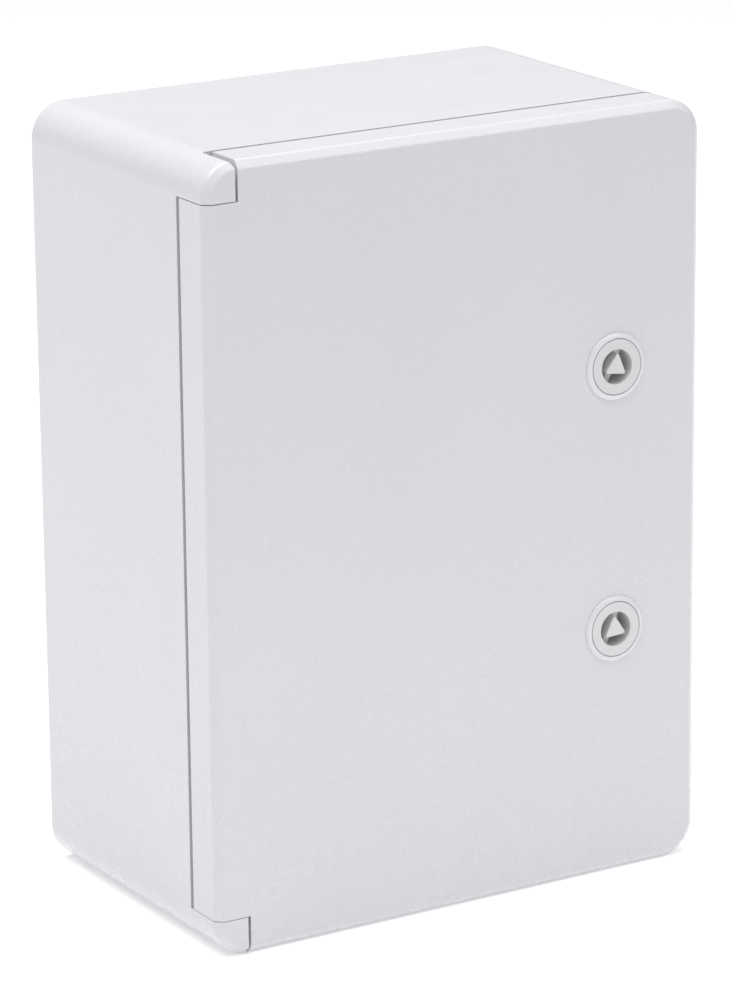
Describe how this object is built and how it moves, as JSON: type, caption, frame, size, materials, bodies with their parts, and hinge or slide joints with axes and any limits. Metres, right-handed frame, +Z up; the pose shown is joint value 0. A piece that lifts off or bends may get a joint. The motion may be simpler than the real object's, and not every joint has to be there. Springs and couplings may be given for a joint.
{
  "type": "wall junction box",
  "caption": "Light-grey moulded wall box with a hinged opaque door on corner hinge blocks, quarter-turn triangle-key locks, foam seal and inner metal mounting plate.",
  "frame": {"origin": "centre of the four wall-fixing holes, on the flat back face that lies against the wall, at mid width and mid height", "axes": "+Z up along the box's height, +X to the right as seen from the front, the door faces -Y"},
  "size_m": [0.25, 0.1536, 0.35],
  "materials": {
    "abs_shell": "satin, smooth moulded light grey",
    "lock_plastic": "satin moulded light grey",
    "nut_plastic": "matt black glass-filled nylon",
    "foam_seal": "matt foamed polyurethane bead",
    "rubber_seal": "matt black rubber",
    "steel_pin": "bright drawn steel",
    "galvanised_sheet": "galvanised, fine spangle",
    "zinc_cam": "zinc-plated stamping",
    "zinc_screw": "bright zinc plating",
    "brass": "turned brass"
  },
  "bodies": {
    "base": {"base_shell": "abs_shell", "mounting_plate": "galvanised_sheet", "plate_inserts": "brass", "plate_screws": "zinc_screw", "plate_washers": "zinc_screw"},
    "door": {"door_shell": "abs_shell", "door_gasket": "foam_seal", "hinge_pin_upper": "steel_pin", "lock_housing_upper": "lock_plastic", "lock_seal_upper": "rubber_seal", "lock_nut_upper": "nut_plastic", "hinge_pin_lower": "steel_pin", "lock_housing_lower": "lock_plastic", "lock_seal_lower": "rubber_seal", "lock_nut_lower": "nut_plastic"},
    "upper_lock": {"lock_core_upper": "lock_plastic", "core_o_ring_upper": "rubber_seal", "cam_upper": "zinc_cam", "cam_washer_upper": "zinc_screw", "cam_screw_upper": "zinc_screw"},
    "lower_lock": {"lock_core_lower": "lock_plastic", "core_o_ring_lower": "rubber_seal", "cam_lower": "zinc_cam", "cam_washer_lower": "zinc_screw", "cam_screw_lower": "zinc_screw"}
  },
  "joints": [
    {"name": "door_hinge", "type": "hinge", "parent": "base", "child": "door", "pos_m": [-0.119, -0.1476, 0], "axis": [0, 0, -1], "range_deg": [0, 180]},
    {"name": "upper_lock_turn", "type": "hinge", "parent": "door", "child": "upper_lock", "pos_m": [0.08, -0.14, 0.0602], "axis": [0, 1, 0], "range_deg": [0, 90]},
    {"name": "lower_lock_turn", "type": "hinge", "parent": "door", "child": "lower_lock", "pos_m": [0.08, -0.14, -0.0602], "axis": [0, 1, 0], "range_deg": [0, 90]}
  ]
}
